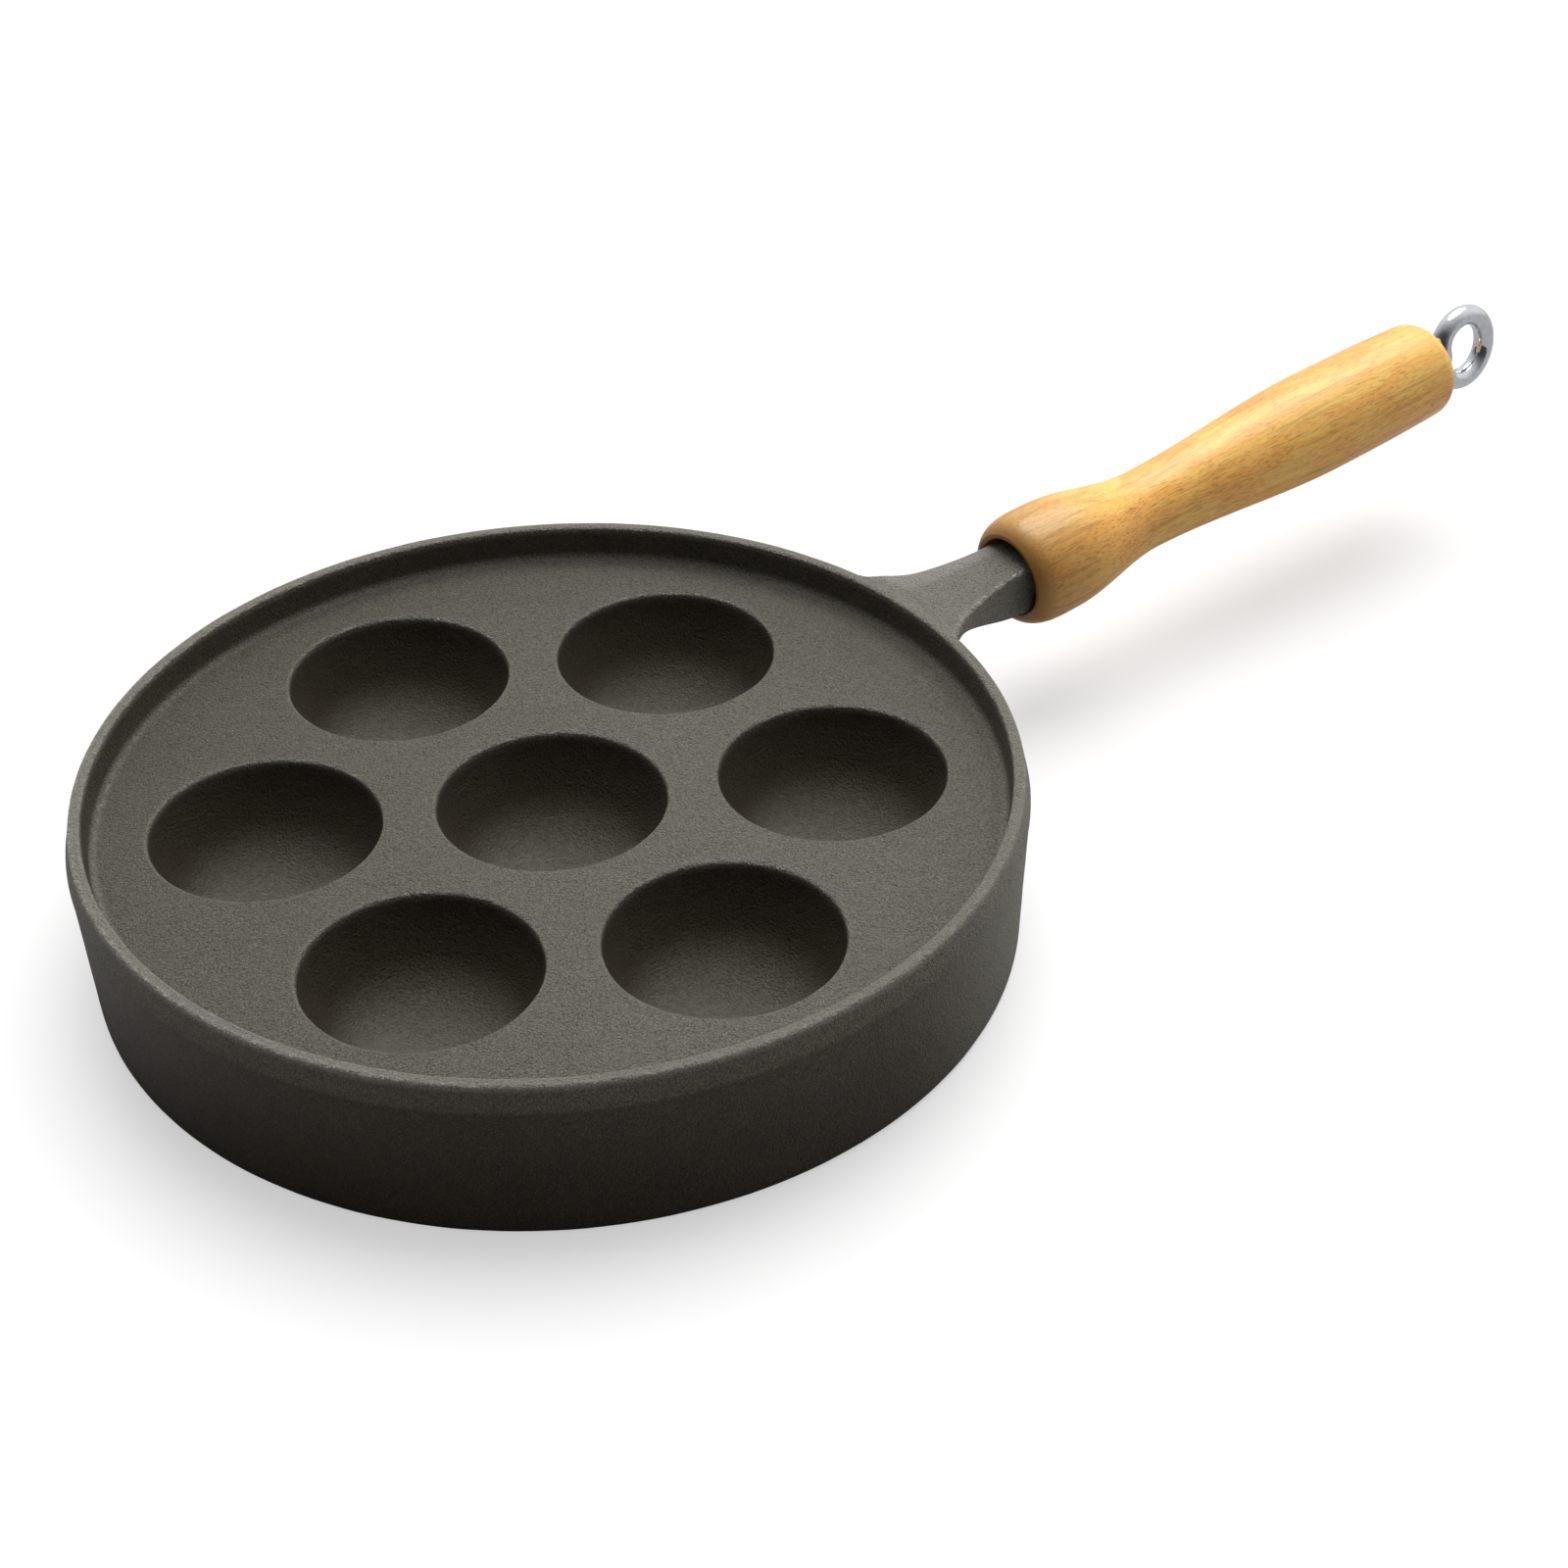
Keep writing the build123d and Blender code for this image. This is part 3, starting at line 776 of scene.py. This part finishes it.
class PAN_OT_arm(bpy.types.Operator):
    """Build the cast arm, with the tapped hole in its tip"""
    bl_idname = "pan.arm"
    bl_label = "Cast Arm"

    def execute(self, context):
        s = settings()
        side = self.side(s)
        skin, tip = self.skin(s, side)
        root_end = np.repeat(skin[:1].mean(axis=1, keepdims=True), skin.shape[1], 1)
        grid = np.concatenate([root_end, skin, self.tapped_hole(s, tip)])
        piece = make_piece("pan_arm", [grid], material(seasoned_iron),
                           "casting", "pan_casting")
        self.paint_finish(piece, s, side)
        return {"FINISHED"}

    @staticmethod
    def side(s):
        """The arm's side seen from above: distance along X and half width. The flare leaves the rim
        along the rim's circle and ends along the arm, by cubic pieces between."""
        pan, arm, flare = s.pan, s.arm, s.arm.flare_angle
        first = np.array([math.cos(flare), math.sin(flare)]) * pan.rim_radius
        side = curve_through(
            [first, (pan.rim_radius + arm.flare_first[0], arm.flare_first[1]),
             (pan.rim_radius + arm.flare_second[0], arm.flare_second[1]),
             (grip_front()[0], arm.half_width)],
            [(math.sin(flare), -math.cos(flare)), (0.80, -0.60), (0.965, -0.262), (1, 0)], count=22)
        root = np.array([[first[0] - 1.2 * MM, first[1]], [first[0] - 0.4 * MM, first[1]]])
        return np.concatenate([root, side])

    def skin(self, s, side):
        """The arm's skin as a grid, and its last section as seen along the handle. A section is a
        rectangle with rounded corners: a corner circle's centre plus its radius times a direction."""
        pan, arm = s.pan, s.arm
        front, rise = grip_front(), arm.axis_rise
        reach = np.linspace(0, s.grip.mouth_depth, 10)[1:]
        x = np.concatenate([side[:, 0], front[0] + reach * math.cos(rise)])
        wide = np.concatenate([side[:, 1], np.full(len(reach), arm.half_width)])
        # Middle line and half height: soft steps from the root's to the handle's own
        start = pan.rim_radius - pan.rim_round
        span = front[0] - start
        t = np.clip((x - start) / span, 0, 1)
        low_half = arm.root_thickness / 2
        half = low_half + (arm.half_height - low_half) * t * t * (3 - 2 * t)
        # The root is a hair thinner, so that its top doesn't lie in the rim's own
        half = half - 0.02 * MM * (1 - eased(start, start + 3 * MM, x))
        middle = ((2 * t**3 - 3 * t**2 + 1) * (pan.height - low_half) + (3 * t**2 - 2 * t**3) * front[2]
                  + (t**3 - t**2) * span * math.tan(rise))
        middle = middle + np.maximum(x - front[0], 0) * math.tan(rise)
        lean = rise * t
        corner, turn_out = self.section()
        radius = arm.edge_round
        across = corner[:, 0] * (wide - radius)[:, None] + turn_out[:, 0] * radius
        up = corner[:, 1] * (half - radius)[:, None] + turn_out[:, 1] * radius
        crown = arm.crown * eased(start + 1 * MM, start + 12 * MM, x)[:, None]
        up = up - np.maximum(corner[:, 1], 0) ** 2 * crown * (across / wide[:, None]) ** 2
        # The root bulges with the rim's circle and straightens by the first flare point
        root = pan.rim_radius * math.cos(arm.flare_angle)
        bulge = pan.rim_radius - root
        straight = np.clip((x - root) / (arm.flare_first[0] + bulge), 0, 1)
        bulge = bulge * (1 - straight)[:, None] ** 2 * (1 - (across / wide[:, None]) ** 2)
        skin = np.stack([x[:, None] + bulge - up * np.sin(lean)[:, None], across,
                         middle[:, None] + up * np.cos(lean)[:, None]], 2)
        return skin, np.stack([across[-1], up[-1]], 1)

    @staticmethod
    def tapped_hole(s, tip):
        """The tip's face, then the hole, in rings about the handle's axis. The hole's radius is that
        of the rod's thread plus the clearance, and the thread fades out towards the mouth."""
        eye, grip = s.eye, s.grip
        theta = np.arctan2(tip[:, 1], tip[:, 0])
        depth = eye.engagement + eye.run_out
        mouth = eye.rod_radius + eye.thread_clearance
        ring = (mouth + 0.5 * MM) * np.stack([np.cos(theta), np.sin(theta)], 1)
        face = tip + steps(6)[1:, None, None] * (ring - tip)
        face = np.concatenate([face, np.full((*face.shape[:2], 1), grip.mouth_depth)], 2)
        along = np.arange(0.5 * MM, depth, eye.thread_pitch / THREAD_ROWS)[:, None]
        place = grip.mouth_depth - along
        bore = thread_radius(eye, place, theta) + eye.thread_clearance
        bore = bore + (mouth - bore) * (1 - eased(0.4 * MM, 1.6 * MM, along))
        hole = np.stack([bore * np.cos(theta), bore * np.sin(theta), place + 0 * theta], 2)
        end = grip.mouth_depth - depth - 2 * MM
        end = np.stack([0 * theta, 0 * theta, end + 0 * theta], 1)[None]
        return placed(np.concatenate([face, hole, end]), handle_frame())

    @staticmethod
    def paint_finish(piece, s, side):
        """Masks from the place of each vertex: upper edges with wear and a painted highlight, the one on
        -Y most, and a side on +Y painted paler and smoother, as painted light."""
        pan, arm = s.pan, s.arm
        front = grip_front()
        x, y, z = read_vectors(piece.data.vertices, "co").T
        wide = np.interp(x, side[:, 0], side[:, 1])
        t = np.clip((x - pan.rim_radius) / arm.length, 0, 1)
        top = pan.height + (front[2] + arm.half_height - pan.height) * t * t * (3 - 2 * t)
        crest = bell(wide - np.abs(y) - 0.3 * MM, 0.7 * MM) * eased(-3 * MM, -1 * MM, z - top)
        far = eased(0.2, 0.6, y / wide)
        beyond = eased(pan.rim_radius - 2 * MM, pan.rim_radius + 5 * MM, x)
        # The -Y crest gets most: a painted highlight along it. The +Y side's pale band is painted light.
        paint(piece, edge=crest * eased(front[0], front[0] - 3 * MM, x) * np.where(y < 0, 2.2, 0.6),
              land=np.maximum(0.9 * far, eased(pan.rim_radius + 3 * MM, pan.rim_radius, x)),
              pale=0.2 + (0.45 + 0.6 * far) * beyond)

    @staticmethod
    def section():
        """Round a rectangle with rounded corners: the corner circle's centre as a share of the
        half sides less the rounding, and the direction out from that centre."""
        tall, flat = steps(15) * 2 - 1, steps(25) * 2 - 1
        quarter = np.linspace(0, math.pi / 2, 6)
        centre, out = [], []
        for k, run in enumerate((tall, flat, tall, flat)):
            heading = np.array([math.cos(k * math.pi / 2), math.sin(k * math.pi / 2)]).round()
            left = np.array([-heading[1], heading[0]])
            centre.append(heading + run[:-1, None] * left)
            out.append(np.repeat(heading[None], len(run) - 1, 0))
            centre.append(np.repeat((heading + left)[None], len(quarter) - 1, 0))
            out.append(np.cos(quarter[:-1, None]) * heading + np.sin(quarter[:-1, None]) * left)
        return np.concatenate(centre), np.concatenate(out)


class PAN_OT_grip(bpy.types.Operator):
    """Build the turned wooden grip, with its recess and its bore"""
    bl_idname = "pan.grip"
    bl_label = "Wooden Grip"

    def execute(self, context):
        s = settings()
        grip = s.grip
        # The outline opens from the front and is level at the bulb, the waist and the swell
        side = curve_through(
            [(0, grip.front_radius), (grip.bulb_at, grip.bulb_radius), (grip.waist_at, grip.waist_radius),
             (grip.swell_at, grip.swell_radius), (grip.length, grip.end_radius)],
            [(0.6, 0.8), (1, 0), (1, 0), (1, 0), (1, -0.05)], count=34)
        # The rear edge's rounding is a quarter circle that leaves the outline smoothly
        turn_in = grip.length - grip.end_round
        end_radius = float(np.interp(turn_in, side[:, 0], side[:, 1]))
        rear = arc((turn_in, end_radius - grip.end_round), grip.end_round, math.pi / 2, 0, count=13)
        side = side[(side[:, 0] > 0.9 * MM) & (side[:, 0] < turn_in)]
        # The same small size rounds the recess's corner and bevels the bore's rear edge
        bevel = 0.3 * MM
        front = outline([(grip.mouth_depth, grip.bore_radius), (grip.mouth_depth, grip.mouth_radius),
                         (0, grip.mouth_radius), (0, grip.front_radius), tuple(side[0])],
                        [bevel, grip.mouth_round, grip.front_round])
        back = outline([tuple(rear[-1]), (grip.length, grip.bore_radius + bevel),
                        (grip.length - bevel, grip.bore_radius), (grip.mouth_depth, grip.bore_radius)],
                       [0, 0], spacing=10 * MM)
        profile = np.concatenate([front, side[1:], rear, back[1:-1]])[:, ::-1]
        make_piece("wood_grip_turned", [turned(profile, s.columns, handle_frame())],
                   material(lacquered_wood), "grip", "wood_grip", wrap_rows=True)
        return {"FINISHED"}


class PAN_OT_eye(bpy.types.Operator):
    """Build the eye rod: threaded shank, collar, neck and ring"""
    bl_idname = "pan.eye"
    bl_label = "Eye Rod"

    def execute(self, context):
        s = settings()
        eye, grip = s.eye, s.grip
        tip = grip.mouth_depth - eye.engagement
        start = grip.length
        a = once_round(s.columns)
        # The thread is bevelled at the rod's tip and fades out where the rod leaves the arm
        thread_end = grip.mouth_depth + eye.thread_pitch
        screw = np.arange(tip, thread_end, eye.thread_pitch / THREAD_ROWS)[:, None]
        radius = thread_radius(eye, screw, a)
        radius = np.minimum(radius, eye.rod_radius - eye.tip_chamfer + (screw - tip))
        radius = radius + (eye.rod_radius - radius) * eased(grip.mouth_depth - 0.6 * MM,
                                                            grip.mouth_depth + 1.2 * MM, screw)
        thread = np.stack([radius * np.cos(a), radius * np.sin(a), screw + 0 * a], 2)
        tip_end = np.stack([0 * a, 0 * a, tip + 0 * a], 1)[None]
        # The neck narrows along a quarter wave and ends inside the ring's wire
        neck_at = start + eye.shoulder_thickness
        t = np.linspace(0, 1, 10)
        neck_radius = eye.neck_radius * (0.62 + 0.38 * (1 - np.sin(t * math.pi / 2)))
        neck = np.stack([neck_radius, neck_at + t * (eye.neck_length + 0.9 * eye.wire_radius)], 1)
        plain = outline([(eye.rod_radius, float(screw[-1, 0]) + MM), (eye.rod_radius, start),
                         (eye.shoulder_radius, start), (eye.shoulder_radius, neck_at), tuple(neck[0])],
                        [0, eye.shoulder_round * 0.5, eye.shoulder_round], spacing=20 * MM)
        shank = turned(np.concatenate([plain, neck[1:], [[0, neck[-1, 1]]]]), s.columns)
        handle = handle_frame()
        shank = placed(np.concatenate([tip_end, thread, shank]), handle)
        make_piece("eye_shank", [shank], material(chrome_plate), "eye", "eye_rod")
        # Ring: a circle of wire carried round the eye's centre, thicker where it meets the neck,
        # and elsewhere a little thinner than the solid's, so that it stays within the part's size
        side, up, axis, origin = handle[:3, :4].T
        centre = origin + axis * (neck_at + eye.neck_length + eye.wire_radius + eye.ring_radius)
        normal = math.sin(eye.turn) * up - math.cos(eye.turn) * side
        across = np.cross(normal, axis)
        thin = eye.wire_radius - 0.04 * MM
        wire = thin * (1 + 0.22 * bell(np.abs(a - math.pi), math.radians(24)))
        b = once_round(WIRE_COLUMNS)[:, None]
        out = eye.ring_radius + wire * np.cos(b) - (wire - eye.wire_radius) * 0.6
        grid = (centre + out[..., None] * (np.cos(a)[:, None] * axis + np.sin(a)[:, None] * across)
                + (wire * np.sin(b))[..., None] * normal)
        make_piece("eye_ring", [grid], material(chrome_plate), "eye", "eye_rod",
                   wrap_rows=True)
        return {"FINISHED"}


class PAN_OT_stage(bpy.types.Operator):
    """Build the stage: pale floor, soft key light, sky and camera"""
    bl_idname = "pan.stage"
    bl_label = "Stage"

    def execute(self, context):
        stage = settings().stage
        self.floor(stage)
        self.light(stage)
        self.sky(stage)
        self.camera(stage)
        context.scene.view_settings.view_transform = "Standard"
        return {"FINISHED"}

    @staticmethod
    def floor(stage):
        """A flat floor whose colour varies a little, whiter to the camera than to the pan."""
        made, recipe = new_material("pale_floor")
        rays = recipe.rays()
        seen = (rays["Is Camera Ray"] + rays["Is Glossy Ray"] + rays["Is Transmission Ray"]).clamped()
        tone = recipe.mix(recipe.noise(recipe.place(), 3.0) * 0.4, stage.floor, stage.floor_warm)
        glow = recipe.mix(rays["Is Camera Ray"], (0.0, 0.0, 0.0), (stage.floor_lift,) * 3)
        recipe.finish({"Base Color": recipe.mix(seen, stage.floor_bounce, tone), "Roughness": 0.6,
                       "Specular IOR Level": 0.2, "Emission Color": glow, "Emission Strength": 1.0})
        half = stage.floor_size / 2
        mesh = bpy.data.meshes.new("floor")
        mesh.from_pydata([(-half, -half, 0), (half, -half, 0), (half, half, 0), (-half, half, 0)], [],
                         [(0, 1, 2, 3)])
        mesh.materials.append(made)
        floor = bpy.data.objects.new("floor", mesh)
        bpy.context.scene.collection.objects.link(floor)

    @staticmethod
    def light(stage):
        """A wide, far key light, so that the floor is lit evenly."""
        lamp = bpy.data.lights.new("key", "SUN")
        lamp.energy = stage.key_strength
        lamp.angle = stage.key_size
        lamp.color = stage.key_colour
        key = bpy.data.objects.new("key", lamp)
        key.matrix_world = (Matrix.Rotation(stage.key_azimuth, 4, "Z")
                            @ Matrix.Rotation(math.pi / 2 - stage.key_elevation, 4, "Y"))
        bpy.context.scene.collection.objects.link(key)

    @staticmethod
    def sky(stage):
        """White to the camera. To the pan it is bright on the key light's side and dim on the other:
        the cosine from its brightest direction, through a soft step."""
        world = bpy.data.worlds.new("sky")
        world.use_nodes = True
        recipe = Recipe(world.node_tree)
        rays = recipe.rays()
        flat = math.cos(stage.sky_elevation)
        bright = (flat * math.cos(stage.sky_azimuth), flat * math.sin(stage.sky_azimuth),
                  math.sin(stage.sky_elevation))
        heading = recipe.node("ShaderNodeTexCoord", {}, {}, output="Generated")
        facing = recipe.node("ShaderNodeVectorMath", {"operation": "DOT_PRODUCT"},
                             {0: heading, 1: bright}, output="Value")
        side = facing.ramp(-0.4, 0.85) * (1.0 - stage.sky_dim) + stage.sky_dim
        mirrored = (rays["Is Glossy Ray"] + rays["Is Transmission Ray"]).clamped()
        lit = side * (mirrored * (1.0 - stage.sky) + stage.sky)
        background = recipe.node("ShaderNodeBackground", {}, {
            "Color": (1.0, 1.0, 1.0, 1.0),
            "Strength": rays["Is Camera Ray"] * (1.0 - lit) + lit})
        recipe.node("ShaderNodeOutputWorld", {}, {"Surface": background}, output=None)
        bpy.context.scene.world = world

    @staticmethod
    def camera(stage):
        """The camera looks at the middle of the rim, then turns by its yaw, pitch and roll."""
        away, lift = math.cos(stage.elevation), math.sin(stage.elevation)
        place = np.array([0.0, -stage.distance * away, stage.distance * lift])
        forward = -place / stage.distance
        right = np.array([1.0, 0.0, 0.0])
        rows = np.stack([right, -np.cross(right, forward), forward])

        def about(axis, a):
            return np.array(Matrix.Rotation(a, 3, axis))

        aim = about("Z", stage.aim_roll) @ about("X", stage.aim_pitch) @ about("Y", stage.aim_yaw) @ rows
        aim = aim @ about("Z", -stage.azimuth)
        matrix = np.eye(4)
        matrix[:3, 0], matrix[:3, 1], matrix[:3, 2] = aim[0], -aim[1], -aim[2]
        matrix[:3, 3] = about("Z", stage.azimuth) @ place + (0, 0, settings().pan.height)
        data = bpy.data.cameras.new("camera")
        data.lens = stage.focal_length
        data.sensor_width = 36.0
        data.clip_start, data.clip_end = 0.01, 50.0
        camera = bpy.data.objects.new("camera", data)
        camera.matrix_world = Matrix(matrix.tolist())
        bpy.context.scene.collection.objects.link(camera)
        bpy.context.scene.camera = camera


OPERATORS = (PAN_OT_body, PAN_OT_arm, PAN_OT_grip, PAN_OT_eye, PAN_OT_stage)


class PAN_PT_panel(bpy.types.Panel):
    """Buttons for the pan's pieces and its stage"""
    bl_label = "Aebleskiver Pan"
    bl_idname = "PAN_PT_panel"
    bl_space_type = "VIEW_3D"
    bl_region_type = "UI"
    bl_category = "Pan"

    def draw(self, context):
        for operator in OPERATORS:
            self.layout.operator(operator.bl_idname)
        self.layout.prop(settings(), "columns")
        for group in ("pan", "arm", "grip", "eye", "finish", "stage"):
            box = self.layout.box()
            values = getattr(settings(), group)
            for name in values.bl_rna.properties.keys():
                if name not in ("rna_type", "name"):
                    box.prop(values, name)


CLASSES = (PanSizes, ArmSizes, GripSizes, EyeSizes, Finish, StageSettings, PanBuilder,
           *OPERATORS, PAN_PT_panel)


def register():
    for item in CLASSES:
        bpy.utils.register_class(item)
    bpy.types.Scene.pan_builder = PointerProperty(type=PanBuilder)


def unregister():
    del bpy.types.Scene.pan_builder
    for item in reversed(CLASSES):
        bpy.utils.unregister_class(item)


def main():
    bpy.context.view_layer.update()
    register()
    bpy.ops.pan.body()
    bpy.ops.pan.arm()
    bpy.ops.pan.grip()
    bpy.ops.pan.eye()
    bpy.ops.pan.stage()


if __name__ == "__main__":
    main()
